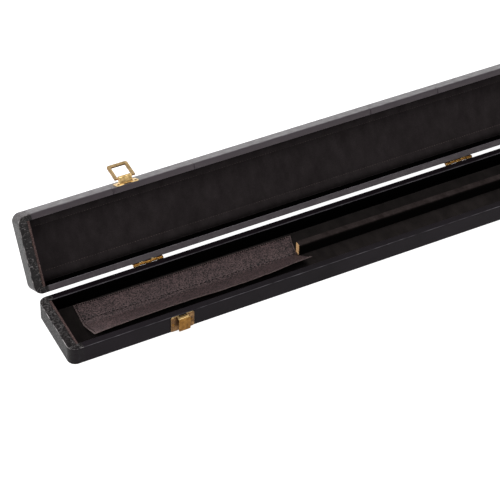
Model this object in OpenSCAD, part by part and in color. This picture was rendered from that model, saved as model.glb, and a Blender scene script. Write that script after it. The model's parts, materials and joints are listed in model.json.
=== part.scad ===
// One-piece cue case: a long, shallow wooden case in leatherette with a hinged lid, a velvet lining,
// a divider, a sewn flap, two draw latches and a carry handle.
// Origin: centre of the underside. X runs along the case, -Y is the latch side, +Z is up.
// The lid is drawn open, leaning back on its hinges. All lengths are in millimetres.

/* [Case] */
// Length over both ends
case_l = 1550; // [1000:10:1800]
// Width of the base and of the lid
case_w = 94; // [84:1:110]
// Height of the base
base_h = 23.4; // [21:0.1:30]
// Height of the lid
lid_h = 24.4; // [21:0.1:30]
// Radius of the upright corners
corner_r = 10; // [6:0.5:12]
// Width of the rim along the base's long sides
base_rim = 8.5; // [7:0.1:12]
// Width of the rim along the lid's long sides
lid_rim = 7.5; // [7:0.1:12]
// Width of the rim across each end, up to the lining board
end_rim = 11; // [9:0.5:20]
// How far the lid leans open, from closed
open_angle = 119; // [95:1:120]

/* [Sheets and boards] */
// Leatherette with its backing
cover_t = 0.8; // [0.5:0.1:1.2]
// Velvet with its backing
lining_t = 0.8; // [0.5:0.1:1.2]
// Floor board and top board
board_t = 3.2; // [2:0.1:4]
// Lined board inside each end
end_board_t = 3; // [2:0.5:4]
// Where the end leatherette stops along the sides
end_wrap = 17; // [17:1:30]
// Radius of the covered edge of a rim
edge_r = 1.4; // [1:0.1:2]
// Width of the padded strip beside each long wall of the lid
lid_pad_w = 9.5; // [6:0.5:12]
// Height of the padded strip at the wall
lid_pad_h = 2.5; // [1:0.1:4]

/* [Divider and flap] */
// From the case's left end to the divider
divider_start = 313; // [250:1:600]
// Width of the divider with its velvet
divider_w = 8.5; // [6:0.5:12]
// How far the divider's front lies in front of the middle
divider_front = 1; // [0:0.5:4]
// Top of the divider above the underside
divider_top = 21.2; // [14:0.1:22]
// From the case's left end to the flap
flap_start = 37; // [20:1:60]
// Length of the flap along the case
flap_l = 275; // [150:5:275]
// Depth of the part that is glued to the floor
flap_back_d = 34.5; // [30:0.5:36]
// Depth of the part that lifts
flap_front_d = 30.5; // [20:0.5:34]
// Thickness of the flap
flap_t = 1.5; // [1:0.1:2]
// Slope of the lifted part at rest
flap_slope = 23; // [10:1:40]

/* [Hinges] */
// Number of hinges
hinge_count = 4; // [4]
// Between the centres of the two end hinges
hinge_span = 1270; // [600:10:1400]
// Width of one hinge
hinge_w = 38; // [30:1:50]
// Height of one leaf below the knuckles
leaf_h = 11; // [9:0.5:14]
// Thickness of a leaf
leaf_t = 1; // [0.8:0.1:1.5]
// From the rear face to the hinge axis
hinge_out = 1.9; // [1.8:0.1:4]
// Outer radius of a knuckle
knuckle_r = 1.7; // [1.5:0.1:2.5]
// Radius of a hinge pin
hinge_pin_r = 0.8; // [0.6:0.1:1.2]

/* [Latches] */
// Between the centres of the two latches
latch_span = 1274.5; // [600:0.5:1400]
// Width of the base plate
plate_w = 29; // [28:0.5:36]
// Height of the base plate
plate_h = 21.9; // [19:0.1:22.5]
// Thickness of the latch sheet
sheet_t = 1; // [0.8:0.1:1.2]
// Width of the lever
lever_w = 14.4; // [13:0.2:17]
// How far the lever stands off the case
lever_out = 7; // [6.5:0.1:8]
// Width of the lid plate
lid_plate_w = 28; // [27:0.5:36]
// Height of the lid plate
lid_plate_h = 14; // [12:0.5:16]
// Width of the bail over its arms
bail_w = 26; // [24:0.5:28]
// From the bail's axis to the middle of its cross bar
bail_l = 21.5; // [20:0.1:23]
// Width of the bail's strip
bail_strip_w = 4.2; // [2:0.1:4.4]
// Thickness of the bail's strip
bail_strip_t = 2; // [1.4:0.1:2]
// Slope of the bail off the lid's face at rest
bail_slope = 32; // [10:1:60]

/* [Handle] */
// Between the two brackets' centres
handle_span = 136; // [110:2:160]
// From the handle's axis to the middle of the grip
handle_reach = 32; // [28:1:36]
// Radius of the grip
grip_r = 6.5; // [5:0.5:7]

/* [Hidden] */
$fn = 48;

leatherette = [0.13, 0.13, 0.14];
velvet = [0.09, 0.085, 0.085];
flap_colour = [0.25, 0.215, 0.21];
timber = [0.80, 0.60, 0.38];
board_edge = [0.24, 0.16, 0.15];
brass = [0.66, 0.52, 0.24];

rim_gap = 0.4;
past = 1;
floor_z = cover_t + board_t + lining_t;
lid_in = case_w / 2 - lid_rim;
inner_x = case_l / 2 - end_rim - end_board_t;
board_drop = 0.7;

hinge_y = case_w / 2 + hinge_out;
hinge_z = base_h + rim_gap / 2;
knuckles = 5;
knuckle_gap = 0.2;
pin_clear = 0.06;

screw_head_r = 1.7;
screw_head_h = 0.7;
screw_shank_r = 0.9;
screw_l = 6;
screw_hole_r = 1.05;
slot_w = 0.5;

plate_z = 0.9;
lever_axis_out = 3.3;
lever_axis_z = 20.4;
lever_pin_r = 0.9;
lever_barrel_r = 1.9;
lever_barrel_w = 10;
ear_t = 1.2;
lever_bottom_z = 3;
lever_bend_r = 2.2;
lever_corner_r = 2.4;
plate_screw_x = 11.5;
plate_screw_z = 11;

bail_axis_out = 7.2;
bail_axis_z = 7.2;
bail_pin_r = 1;
knuckle_block_w = 16;
knuckle_block_r = 2.4;
block_pin_l = 4;
lid_plate_screw_x = 11.1;
lid_plate_screw_z = 3.4;

flap_gap = 0.3;
crease_y = 37.5 - flap_back_d;
flap_x = -case_l / 2 + flap_start;
flap_z = floor_z + 0.2;

bracket_w = 22;
bracket_h = 15;
bracket_t = 1.2;
handle_axis_out = 8.5;
handle_axis_z = 12;
handle_pin_r = 1.6;
handle_ear_t = 2;
handle_ear_x = 6;
link_r = 2.2;
link_cone_h = 3;
grip_turn_r = 8;
handle_drop = asin((handle_axis_z - grip_r - 0.3) / handle_reach);

// ---- Placing ----

// Shell coordinates to the closed lid: upside down, rim towards the base
module lid_closed() {
    translate([0, 0, base_h + rim_gap + lid_h])
        mirror([0, 0, 1])
            children();
}

// Turns what is drawn on the closed lid open about the hinge axis
module lid_open() {
    translate([0, hinge_y, hinge_z])
        rotate([-open_angle, 0, 0])
            translate([0, -hinge_y, -hinge_z])
                children();
}

module in_lid() {
    lid_open()
        lid_closed()
            children();
}

// Draws at the left as it is, or at the right as its mirror image
module at_end(right) {
    mirror([right ? 1 : 0, 0, 0])
        children();
}

// Lays a profile of (distance out of the front face, height) along X, from -l/2 to l/2
module along_x(l) {
    translate([-l / 2, -case_w / 2, 0])
        rotate([90, 0, 90])
            mirror([1, 0, 0])
                linear_extrude(l)
                    children();
}

// A round rod along X, about (distance out of the front face, height)
module rod_x(out, z, r, l) {
    translate([-l / 2, -case_w / 2 - out, z])
        rotate([0, 90, 0])
            cylinder(r = r, h = l);
}

// A box from its lowest to its highest corner
module box(a, b) {
    translate(a)
        cube(b - a);
}

// ---- The wooden shell, drawn for either half with its rim up ----

module rounded_plan(inset) {
    l = case_l - 2 * inset;
    w = case_w - 2 * inset;
    r = corner_r - inset;
    square([l - 2 * r, w], center = true);
    square([l, w - 2 * r], center = true);
    for (x = [-1, 1], y = [-1, 1])
        translate([x * (l / 2 - r), y * (w / 2 - r)])
            circle(r = r);
}

module plan_slab(inset, z0, z1) {
    translate([0, 0, z0])
        linear_extrude(z1 - z0)
            rounded_plan(inset);
}

module shell_panel() {
    l = case_l / 2 - end_rim;
    w = case_w / 2 - cover_t;
    box([-l, -w, cover_t], [l, w, cover_t + board_t]);
}

module shell_rail(h, rim, front) {
    l = case_l / 2 - end_rim;
    mirror([0, front ? 0 : 1, 0])
        box([-l, -case_w / 2 + cover_t, cover_t + board_t],
            [l, -case_w / 2 + rim - lining_t, h - cover_t]);
}

module shell_block(h) {
    intersection() {
        plan_slab(cover_t, cover_t, h - cover_t);
        box([-case_l, -case_w, 0], [-case_l / 2 + end_rim, case_w, h]);
    }
}

module shell_flat_cover() {
    plan_slab(0, 0, cover_t);
}

// Outline of a rim's corner: face to the left, rim on top
module rim_corner(w, h) {
    square([w, h - edge_r]);
    translate([edge_r, 0])
        square([w - edge_r, h]);
    translate([edge_r, h - edge_r])
        circle(r = edge_r);
}

module shell_side_cover(h, rim, front) {
    mirror([0, front ? 0 : 1, 0])
        along_x(case_l - 2 * end_wrap)
            mirror([1, 0])
                difference() {
                    rim_corner(rim, h);
                    translate([cover_t, -past])
                        square([rim, h - cover_t + past]);
                    translate([-past, -past])
                        square([rim, cover_t + past]);
                }
}

module shell_end_cover(h, rim) {
    difference() {
        intersection() {
            plan_slab(0, cover_t, h);
            box([-case_l, -case_w, 0], [-case_l / 2 + end_wrap, case_w, h]);
        }
        plan_slab(cover_t, -past, h - cover_t);
        box([-case_l / 2 + end_rim, -case_w / 2 + rim, -past],
            [0, case_w / 2 - rim, h + past]);
    }
}

module shell_floor_lining(rim) {
    w = case_w / 2 - rim;
    l = case_l / 2 - end_rim;
    box([-l, -w, cover_t + board_t], [l, w, floor_z]);
}

module shell_side_lining(h, rim, front) {
    mirror([0, front ? 0 : 1, 0])
        box([-inner_x, -case_w / 2 + rim - lining_t, floor_z],
            [inner_x, -case_w / 2 + rim, h - cover_t]);
}

module shell_end_board(h, rim) {
    box([-inner_x - end_board_t, -case_w / 2 + rim, floor_z],
        [-inner_x, case_w / 2 - rim, h - board_drop]);
}

// ---- Base ----

module base_floor_panel() {
    color(timber)
        shell_panel();
}

module base_rail(front) {
    color(timber)
        shell_rail(base_h, base_rim, front);
}

module base_block(right) {
    color(timber)
        at_end(right)
            shell_block(base_h);
}

module base_bottom_cover() {
    color(leatherette)
        shell_flat_cover();
}

module base_side_cover(front) {
    color(leatherette)
        shell_side_cover(base_h, base_rim, front);
}

module base_end_cover(right) {
    color(leatherette)
        at_end(right)
            shell_end_cover(base_h, base_rim);
}

module base_floor_lining() {
    color(velvet)
        shell_floor_lining(base_rim);
}

module base_side_lining(front) {
    color(velvet)
        shell_side_lining(base_h, base_rim, front);
}

module base_board(right) {
    color(board_edge)
        at_end(right)
            shell_end_board(base_h, base_rim);
}

module divider_core() {
    color(timber)
        box([-case_l / 2 + divider_start, lining_t - divider_front, floor_z],
            [inner_x, divider_w - divider_front - lining_t, divider_top - lining_t]);
}

module divider_cover() {
    color(velvet)
        difference() {
            box([-case_l / 2 + divider_start, -divider_front, floor_z],
                [inner_x, divider_w - divider_front, divider_top]);
            box([-case_l, lining_t - divider_front, 0],
                [case_l, divider_w - divider_front - lining_t, divider_top - lining_t]);
        }
}

module flap_back() {
    color(flap_colour)
        box([flap_x, crease_y, floor_z],
            [flap_x + flap_l, crease_y + flap_back_d, floor_z + flap_t]);
}

module flap_front() {
    color(flap_colour)
        translate([flap_x, crease_y - flap_gap / 2, flap_z + flap_t])
            rotate([-flap_slope, 0, 0])
                translate([0, -flap_front_d, -flap_t])
                    cube([flap_l, flap_front_d - flap_gap / 2, flap_t]);
}

// ---- Lid ----

module lid_top_panel() {
    color(timber)
        in_lid()
            shell_panel();
}

module lid_rail(front) {
    color(timber)
        in_lid()
            shell_rail(lid_h, lid_rim, front);
}

module lid_block(right) {
    color(timber)
        in_lid()
            at_end(right)
                shell_block(lid_h);
}

module lid_top_cover() {
    color(leatherette)
        in_lid()
            shell_flat_cover();
}

module lid_side_cover(front) {
    color(leatherette)
        in_lid()
            shell_side_cover(lid_h, lid_rim, front);
}

module lid_end_cover(right) {
    color(leatherette)
        in_lid()
            at_end(right)
                shell_end_cover(lid_h, lid_rim);
}

// Velvet with a padded strip that rises to each long wall
module lid_top_lining() {
    strip = [
        [lid_in - lid_pad_w, floor_z - lining_t],
        [lid_in, floor_z - lining_t],
        [lid_in, floor_z + lid_pad_h],
        [lid_in - lid_pad_w, floor_z]
    ];
    color(velvet)
        in_lid() {
            box([-inner_x, -lid_in + lid_pad_w, floor_z - lining_t],
                [inner_x, lid_in - lid_pad_w, floor_z]);
            for (front = [0, 1])
                mirror([0, front, 0])
                    translate([-inner_x, 0, 0])
                        rotate([90, 0, 90])
                            linear_extrude(2 * inner_x)
                                polygon(strip);
            for (right = [0, 1])
                mirror([right, 0, 0])
                    box([-inner_x - end_board_t, -lid_in, floor_z - lining_t],
                        [-inner_x, lid_in, floor_z]);
        }
}

module lid_side_lining(front) {
    color(velvet)
        in_lid()
            mirror([0, front ? 0 : 1, 0])
                box([-inner_x, -case_w / 2 + lid_rim - lining_t, floor_z],
                    [inner_x, -case_w / 2 + lid_rim, lid_h - cover_t]);
}

module lid_board(right) {
    color(board_edge)
        in_lid()
            at_end(right)
                shell_end_board(lid_h, lid_rim);
}

// ---- Hinges ----

function hinge_x(i) = -hinge_span / 2 + (i - 1) * hinge_span / (hinge_count - 1);

// Holes in a leaf, as (x, distance below the axis)
leaf_screws = [for (x = [-1, 1]) [x * hinge_w / 3, 7]];

// A leaf that hangs from the axis down the rear face, with every second knuckle from the first
module hinge_leaf(first) {
    step = hinge_w / knuckles;
    difference() {
        union() {
            box([-hinge_w / 2, case_w / 2, hinge_z - knuckle_r - leaf_h],
                [hinge_w / 2, case_w / 2 + leaf_t, hinge_z - knuckle_r]);
            for (k = [first:2:knuckles - 1])
                translate([-hinge_w / 2 + k * step + knuckle_gap / 2, hinge_y, hinge_z]) {
                    rotate([0, 90, 0])
                        cylinder(r = knuckle_r, h = step - knuckle_gap);
                    translate([0, -hinge_out, -hinge_out])
                        cube([step - knuckle_gap, leaf_t, hinge_out]);
                }
        }
        translate([-hinge_w, hinge_y, hinge_z])
            rotate([0, 90, 0])
                cylinder(r = hinge_pin_r + pin_clear, h = 2 * hinge_w);
        for (s = leaf_screws)
            translate([s[0], case_w / 2 - past, hinge_z - s[1]])
                rotate([-90, 0, 0])
                    cylinder(r = screw_hole_r, h = leaf_t + 2 * past);
    }
}

// Mirrors a leaf of the base about the hinge axis's plane, for the closed lid
module above_axis() {
    translate([0, 0, 2 * hinge_z])
        mirror([0, 0, 1])
            children();
}

module hinge_base_leaf(i) {
    color(brass)
        translate([hinge_x(i), 0, 0])
            hinge_leaf(0);
}

module hinge_lid_leaf(i) {
    color(brass)
        lid_open()
            above_axis()
                translate([hinge_x(i), 0, 0])
                    hinge_leaf(1);
}

module hinge_pins() {
    color(brass)
        for (i = [1:hinge_count])
            translate([hinge_x(i) - hinge_w / 2, hinge_y, hinge_z])
                rotate([0, 90, 0])
                    cylinder(r = hinge_pin_r, h = hinge_w);
}

// ---- Screws ----

// Slotted screw with its head on y = 0, pointing along +Y
module screw() {
    difference() {
        rotate([90, 0, 0])
            cylinder(r1 = screw_head_r, r2 = screw_head_r * 0.72, h = screw_head_h, $fn = 64);
        box([-screw_head_r, -screw_head_h - past, -slot_w / 2],
            [screw_head_r, -screw_head_h / 2, slot_w / 2]);
    }
    rotate([-90, 0, 0])
        cylinder(r = screw_shank_r, h = screw_l);
}

module front_screw(x, z, sheet) {
    translate([x, -case_w / 2 - sheet, z])
        screw();
}

module rear_leaf_screws() {
    for (i = [1:hinge_count], s = leaf_screws)
        translate([hinge_x(i) + s[0], case_w / 2 + leaf_t, hinge_z - s[1]])
            rotate([0, 0, 180])
                screw();
}

module base_screws() {
    color(brass) {
        rear_leaf_screws();
        for (side = [-1, 1], x = [-1, 1])
            front_screw(side * latch_span / 2 + x * plate_screw_x, plate_screw_z, sheet_t);
        for (side = [-1, 1], z = [-1, 1])
            front_screw(side * (handle_span / 2 + handle_ear_x + 3.4),
                        handle_axis_z + z * bracket_h / 4, bracket_t);
    }
}

module lid_screws() {
    color(brass)
        lid_open() {
            above_axis()
                rear_leaf_screws();
            for (side = [-1, 1], x = [-1, 1])
                front_screw(side * latch_span / 2 + x * lid_plate_screw_x,
                            base_h + rim_gap + lid_plate_screw_z, sheet_t);
        }
}

// ---- Latches ----

// Flat plate on the front face, about x = 0, with round corners and two screw holes
module front_plate(w, h, z, t, screw_x, screw_z) {
    r = 1.6;
    difference() {
        translate([0, -case_w / 2, z])
            rotate([90, 0, 0])
                linear_extrude(t) {
                    translate([-w / 2 + r, 0])
                        square([w - 2 * r, h]);
                    translate([-w / 2, r])
                        square([w, h - 2 * r]);
                    for (x = [-1, 1], y = [r, h - r])
                        translate([x * (w / 2 - r), y])
                            circle(r = r);
                }
        for (x = [-1, 1])
            translate([x * screw_x, -case_w / 2 + past, screw_z])
                rotate([90, 0, 0])
                    cylinder(r = screw_hole_r, h = t + 2 * past);
    }
}

// Two ears that hold the lever's pin, one each side of its barrel
module lever_ears() {
    for (x = [-1, 1])
        translate([x * (lever_barrel_w / 2 + ear_t / 2 + knuckle_gap), 0, 0]) {
            rod_x(lever_axis_out, lever_axis_z, lever_barrel_r - 0.2, ear_t);
            box([-ear_t / 2, -case_w / 2 - lever_axis_out, lever_axis_z - lever_barrel_r + 0.2],
                [ear_t / 2, -case_w / 2 - sheet_t / 2, lever_axis_z + lever_barrel_r - 0.2]);
        }
}

module latch_plate(side) {
    color(brass)
        translate([side * latch_span / 2, 0, 0])
            difference() {
                union() {
                    front_plate(plate_w, plate_h, plate_z, sheet_t,
                                plate_screw_x, plate_screw_z);
                    lever_ears();
                }
                rod_x(lever_axis_out, lever_axis_z, lever_pin_r + pin_clear, 2 * lever_w);
                box([-4.5, -case_w, plate_z + plate_h - 1.4], [4.5, case_w, case_w]);
            }
}

// Lever outline: a barrel on the axis, a top that bends over it and a face down to a turned lip
module lever_profile() {
    top = lever_axis_z + lever_barrel_r;
    r = lever_bend_r;
    lip_r = 1.6;
    translate([lever_axis_out, top - sheet_t])
        square([lever_out - lever_axis_out - r, sheet_t]);
    translate([lever_out - r, top - r])
        intersection() {
            difference() {
                circle(r = r);
                circle(r = r - sheet_t);
            }
            square(r + past);
        }
    translate([lever_out - sheet_t, lever_bottom_z + lip_r])
        square([sheet_t, top - r - lever_bottom_z - lip_r]);
    translate([lever_out - lip_r, lever_bottom_z + lip_r])
        intersection() {
            difference() {
                circle(r = lip_r);
                circle(r = lip_r - sheet_t);
            }
            translate([0, -lip_r - past])
                square(lip_r + past);
        }
}

// What rounding takes off one lower corner of the lever's face
module lever_corner(x) {
    r = lever_corner_r;
    translate([x * (lever_w / 2 - r), 0, lever_bottom_z + r])
        rotate([90, 0, 0])
            linear_extrude(case_w)
                difference() {
                    translate([x > 0 ? 0 : -r - past, -r - past])
                        square(r + past);
                    circle(r = r);
                }
}

module latch_lever(side) {
    color(brass)
        translate([side * latch_span / 2, 0, 0])
            difference() {
                union() {
                    rod_x(lever_axis_out, lever_axis_z, lever_barrel_r, lever_barrel_w);
                    difference() {
                        along_x(lever_w)
                            lever_profile();
                        for (x = [-1, 1])
                            lever_corner(x);
                        for (x = [-1, 1])
                            box([x * lever_w - lever_w + x * lever_barrel_w / 2,
                                 -case_w / 2 - lever_axis_out - lever_barrel_r - 0.4,
                                 lever_axis_z - lever_barrel_r - 0.4],
                                [x * lever_w + lever_w + x * lever_barrel_w / 2,
                                 -case_w / 2, lever_axis_z + lever_barrel_r + past]);
                    }
                }
                rod_x(lever_axis_out, lever_axis_z, lever_pin_r + pin_clear, 2 * lever_w);
            }
}

module latch_pins() {
    color(brass)
        for (side = [-1, 1])
            translate([side * latch_span / 2, 0, 0])
                rod_x(lever_axis_out, lever_axis_z, lever_pin_r,
                      lever_barrel_w + 2 * ear_t + 2 * knuckle_gap);
}

// Plate on the lid with a raised block that holds the ends of the bail
module lid_plate_closed() {
    z = base_h + rim_gap;
    r = knuckle_block_r;
    difference() {
        union() {
            front_plate(lid_plate_w, lid_plate_h, z + 0.3, sheet_t,
                        lid_plate_screw_x, z + lid_plate_screw_z);
            rod_x(bail_axis_out, z + bail_axis_z, r, knuckle_block_w);
            box([-knuckle_block_w / 2, -case_w / 2 - bail_axis_out, z + bail_axis_z - r],
                [knuckle_block_w / 2, -case_w / 2 - sheet_t / 2, z + bail_axis_z + r]);
        }
        for (x = [-1, 1])
            translate([x * knuckle_block_w / 2, 0, 0])
                rod_x(bail_axis_out, z + bail_axis_z, bail_pin_r + pin_clear, 2 * block_pin_l);
        box([-4.5, -case_w, z], [4.5, case_w, z + 2.6]);
    }
}

module latch_lid_plate(side) {
    color(brass)
        lid_open()
            translate([side * latch_span / 2, 0, 0])
                lid_plate_closed();
}

// Outline of the bail with its axis along X through the origin and its cross bar at +Y
module bail_loop() {
    r = 3;
    in_r = 0.6;
    outer_y = bail_l + bail_strip_w / 2;
    inner_w = bail_w - 2 * bail_strip_w;
    difference() {
        union() {
            translate([-bail_w / 2, -bail_pin_r])
                square([bail_w, outer_y - r + bail_pin_r]);
            translate([-bail_w / 2 + r, 0])
                square([bail_w - 2 * r, outer_y]);
            for (x = [-1, 1])
                translate([x * (bail_w / 2 - r), outer_y - r])
                    circle(r = r);
        }
        translate([-inner_w / 2, -bail_w])
            square([inner_w, bail_w + bail_l - bail_strip_w / 2 - in_r]);
        translate([-inner_w / 2 + in_r, 0])
            square([inner_w - 2 * in_r, bail_l - bail_strip_w / 2]);
        for (x = [-1, 1])
            translate([x * (inner_w / 2 - in_r), bail_l - bail_strip_w / 2 - in_r])
                circle(r = in_r);
    }
}

module latch_bail(side) {
    in_w = bail_w - 2 * bail_strip_w;
    pin_l = (in_w - knuckle_block_w) / 2 + block_pin_l - 0.4;
    color(brass)
        lid_open()
            translate([side * latch_span / 2, -case_w / 2 - bail_axis_out,
                       base_h + rim_gap + bail_axis_z])
                rotate([90 + bail_slope, 0, 0]) {
                    translate([0, 0, -bail_strip_t / 2])
                        linear_extrude(bail_strip_t)
                            bail_loop();
                    for (x = [-1, 1])
                        translate([x * (in_w / 2 + 0.2) - (x > 0 ? pin_l : 0), 0, 0])
                            rotate([0, 90, 0])
                                cylinder(r = bail_pin_r, h = pin_l);
                }
}

// ---- Carry handle ----

module handle_bracket(side) {
    x0 = side * handle_span / 2;
    color(brass)
        difference() {
            union() {
                translate([x0 + side * bracket_w / 4, 0, 0])
                    box([-bracket_w / 2, -case_w / 2 - bracket_t, handle_axis_z - bracket_h / 2],
                        [bracket_w / 2, -case_w / 2, handle_axis_z + bracket_h / 2]);
                for (x = [-1, 1])
                    translate([x0 + x * (handle_ear_x - handle_ear_t), 0, 0]) {
                        rod_x(handle_axis_out, handle_axis_z, handle_pin_r + 1.6, handle_ear_t);
                        box([-handle_ear_t / 2, -case_w / 2 - handle_axis_out,
                             handle_axis_z - handle_pin_r - 1.6],
                            [handle_ear_t / 2, -case_w / 2 - bracket_t / 2,
                             handle_axis_z + handle_pin_r + 1.6]);
                    }
            }
            translate([x0, 0, 0])
                rod_x(handle_axis_out, handle_axis_z, handle_pin_r + pin_clear, bracket_w);
            for (z = [-1, 1])
                translate([x0 + side * (handle_ear_x + 3.4), -case_w / 2 + past,
                           handle_axis_z + z * bracket_h / 4])
                    rotate([90, 0, 0])
                        cylinder(r = screw_hole_r, h = bracket_t + 2 * past);
        }
}

module handle_pins() {
    color(brass)
        for (side = [-1, 1])
            translate([side * handle_span / 2, 0, 0])
                rod_x(handle_axis_out, handle_axis_z, handle_pin_r,
                      2 * (handle_ear_x - handle_ear_t) + handle_ear_t);
}

// Handle coordinates: X along the axis, +Y out of the case, turned down to lie on the table
module in_handle() {
    translate([0, -case_w / 2 - handle_axis_out, handle_axis_z])
        rotate([handle_drop, 0, 0])
            mirror([0, 1, 0])
                children();
}

// Brass link: an eye on the pin and a stem into the end of the grip
module handle_link(side) {
    eye_r = handle_pin_r + 1.8;
    eye_w = 2 * (handle_ear_x - handle_ear_t) - handle_ear_t - 0.8;
    color(brass)
        in_handle()
            translate([side * handle_span / 2, 0, 0])
                difference() {
                    union() {
                        translate([-eye_w / 2, 0, 0])
                            rotate([0, 90, 0])
                                cylinder(r = eye_r, h = eye_w);
                        rotate([-90, 0, 0])
                            cylinder(r = link_r, h = handle_reach - grip_turn_r);
                        translate([0, handle_reach - grip_turn_r - link_cone_h, 0])
                            rotate([-90, 0, 0])
                                cylinder(r1 = link_r, r2 = grip_r - 1.5, h = link_cone_h);
                    }
                    translate([-eye_w, 0, 0])
                        rotate([0, 90, 0])
                            cylinder(r = handle_pin_r + pin_clear, h = 2 * eye_w);
                }
}

// Grip: a straight padded bar whose ends turn back to the links
module handle_grip() {
    r = grip_turn_r;
    end_x = handle_span / 2 - r;
    color(leatherette)
        in_handle() {
            translate([-end_x, handle_reach, 0])
                rotate([0, 90, 0])
                    cylinder(r = grip_r, h = 2 * end_x);
            for (x = [-1, 1])
                translate([x * end_x, handle_reach - r, 0])
                    intersection() {
                        rotate_extrude()
                            translate([r, 0])
                                circle(r = grip_r);
                        translate([x > 0 ? 0 : -4 * r, 0, -2 * r])
                            cube(4 * r);
                    }
        }
}

base_floor_panel();
base_rail(true);  // base_front_rail
base_rail(false);  // base_rear_rail
base_block(false);  // base_left_block
base_block(true);  // base_right_block
base_bottom_cover();
base_side_cover(true);  // base_front_cover
base_side_cover(false);  // base_rear_cover
base_end_cover(false);  // base_left_cover
base_end_cover(true);  // base_right_cover
base_floor_lining();
base_side_lining(true);  // base_front_lining
base_side_lining(false);  // base_rear_lining
base_board(false);  // base_left_board
base_board(true);  // base_right_board
divider_core();
divider_cover();
flap_back();
flap_front();
lid_top_panel();
lid_rail(true);  // lid_front_rail
lid_rail(false);  // lid_rear_rail
lid_block(false);  // lid_left_block
lid_block(true);  // lid_right_block
lid_top_cover();
lid_side_cover(true);  // lid_front_cover
lid_side_cover(false);  // lid_rear_cover
lid_end_cover(false);  // lid_left_cover
lid_end_cover(true);  // lid_right_cover
lid_top_lining();
lid_side_lining(true);  // lid_front_lining
lid_side_lining(false);  // lid_rear_lining
lid_board(false);  // lid_left_board
lid_board(true);  // lid_right_board
hinge_base_leaf(1);  // hinge_1_base_leaf
hinge_base_leaf(2);  // hinge_2_base_leaf
hinge_base_leaf(3);  // hinge_3_base_leaf
hinge_base_leaf(4);  // hinge_4_base_leaf
hinge_lid_leaf(1);  // hinge_1_lid_leaf
hinge_lid_leaf(2);  // hinge_2_lid_leaf
hinge_lid_leaf(3);  // hinge_3_lid_leaf
hinge_lid_leaf(4);  // hinge_4_lid_leaf
hinge_pins();
latch_plate(-1);  // latch_left_plate
latch_plate(1);  // latch_right_plate
latch_lever(-1);  // latch_left_lever
latch_lever(1);  // latch_right_lever
latch_pins();
latch_lid_plate(-1);  // latch_left_lid_plate
latch_lid_plate(1);  // latch_right_lid_plate
latch_bail(-1);  // latch_left_bail
latch_bail(1);  // latch_right_bail
base_screws();
lid_screws();
handle_bracket(-1);  // handle_left_bracket
handle_bracket(1);  // handle_right_bracket
handle_pins();
handle_link(-1);  // handle_left_link
handle_link(1);  // handle_right_link
handle_grip();
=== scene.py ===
"""Looks of the open cue case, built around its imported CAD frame.

All lengths are in metres, unless a name says mm. Angles whose names end in deg are in degrees.
"""

import math

import bmesh
import bpy
import numpy as np
from mathutils import Matrix, Vector, noise
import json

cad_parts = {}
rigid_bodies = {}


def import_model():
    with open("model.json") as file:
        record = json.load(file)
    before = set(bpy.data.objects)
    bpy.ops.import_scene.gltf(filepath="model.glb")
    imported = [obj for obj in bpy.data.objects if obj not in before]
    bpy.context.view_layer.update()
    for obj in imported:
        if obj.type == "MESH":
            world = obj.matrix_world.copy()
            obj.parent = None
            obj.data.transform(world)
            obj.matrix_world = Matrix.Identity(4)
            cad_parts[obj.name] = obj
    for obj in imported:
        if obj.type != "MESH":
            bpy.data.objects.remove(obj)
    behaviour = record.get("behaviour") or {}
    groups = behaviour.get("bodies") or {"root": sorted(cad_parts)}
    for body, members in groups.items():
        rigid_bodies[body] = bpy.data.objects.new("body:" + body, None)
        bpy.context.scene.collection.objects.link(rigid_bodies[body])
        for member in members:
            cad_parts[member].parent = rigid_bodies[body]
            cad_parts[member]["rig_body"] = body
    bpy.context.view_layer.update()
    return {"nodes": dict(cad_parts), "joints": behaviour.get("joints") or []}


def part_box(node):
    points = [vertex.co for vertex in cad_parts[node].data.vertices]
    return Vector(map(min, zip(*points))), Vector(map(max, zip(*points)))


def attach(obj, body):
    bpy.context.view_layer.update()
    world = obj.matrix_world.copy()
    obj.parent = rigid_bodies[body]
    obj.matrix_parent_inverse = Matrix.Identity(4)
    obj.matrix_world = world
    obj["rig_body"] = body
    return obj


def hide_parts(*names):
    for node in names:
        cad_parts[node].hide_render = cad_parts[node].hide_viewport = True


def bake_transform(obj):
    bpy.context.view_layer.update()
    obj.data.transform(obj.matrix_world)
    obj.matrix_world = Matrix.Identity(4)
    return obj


MM = 0.001

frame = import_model()
joints = {joint["name"]: joint for joint in frame["joints"]}


def show(name, data):
    """A new object in the scene that shows a mesh, light or camera."""
    thing = bpy.data.objects.new(name, data)
    bpy.context.scene.collection.objects.link(thing)
    return thing


# ---------------------------------------------------------------- camera

CAMERA_AT = Vector((-1.31863, -1.47197, 1.55830))
CAMERA_AZIMUTH = math.radians(-28.26)
CAMERA_ELEVATION = math.radians(42.28)
CAMERA_ROLL = math.radians(1.60)
CAMERA_LENS_MM = 140.19
CAMERA_SENSOR_MM = 36


def make_camera():
    """A long lens that looks down on the left end, turned a little about its own axis."""
    azimuth, elevation = CAMERA_AZIMUTH, CAMERA_ELEVATION
    back = Vector((
        math.sin(azimuth) * math.cos(elevation),
        -math.cos(azimuth) * math.cos(elevation),
        math.sin(elevation),
    ))
    level = Vector((math.cos(azimuth), math.sin(azimuth), 0))
    upright = back.cross(level)
    right = math.cos(CAMERA_ROLL) * level + math.sin(CAMERA_ROLL) * upright
    up = back.cross(right)
    data = bpy.data.cameras.new("camera")
    data.lens = CAMERA_LENS_MM
    data.sensor_width = CAMERA_SENSOR_MM
    camera = show("camera", data)
    turn = Matrix((right, up, back)).transposed().to_4x4()
    camera.matrix_world = Matrix.Translation(CAMERA_AT) @ turn
    bpy.context.scene.camera = camera


make_camera()


# ---------------------------------------------------------------- the two halves

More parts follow.
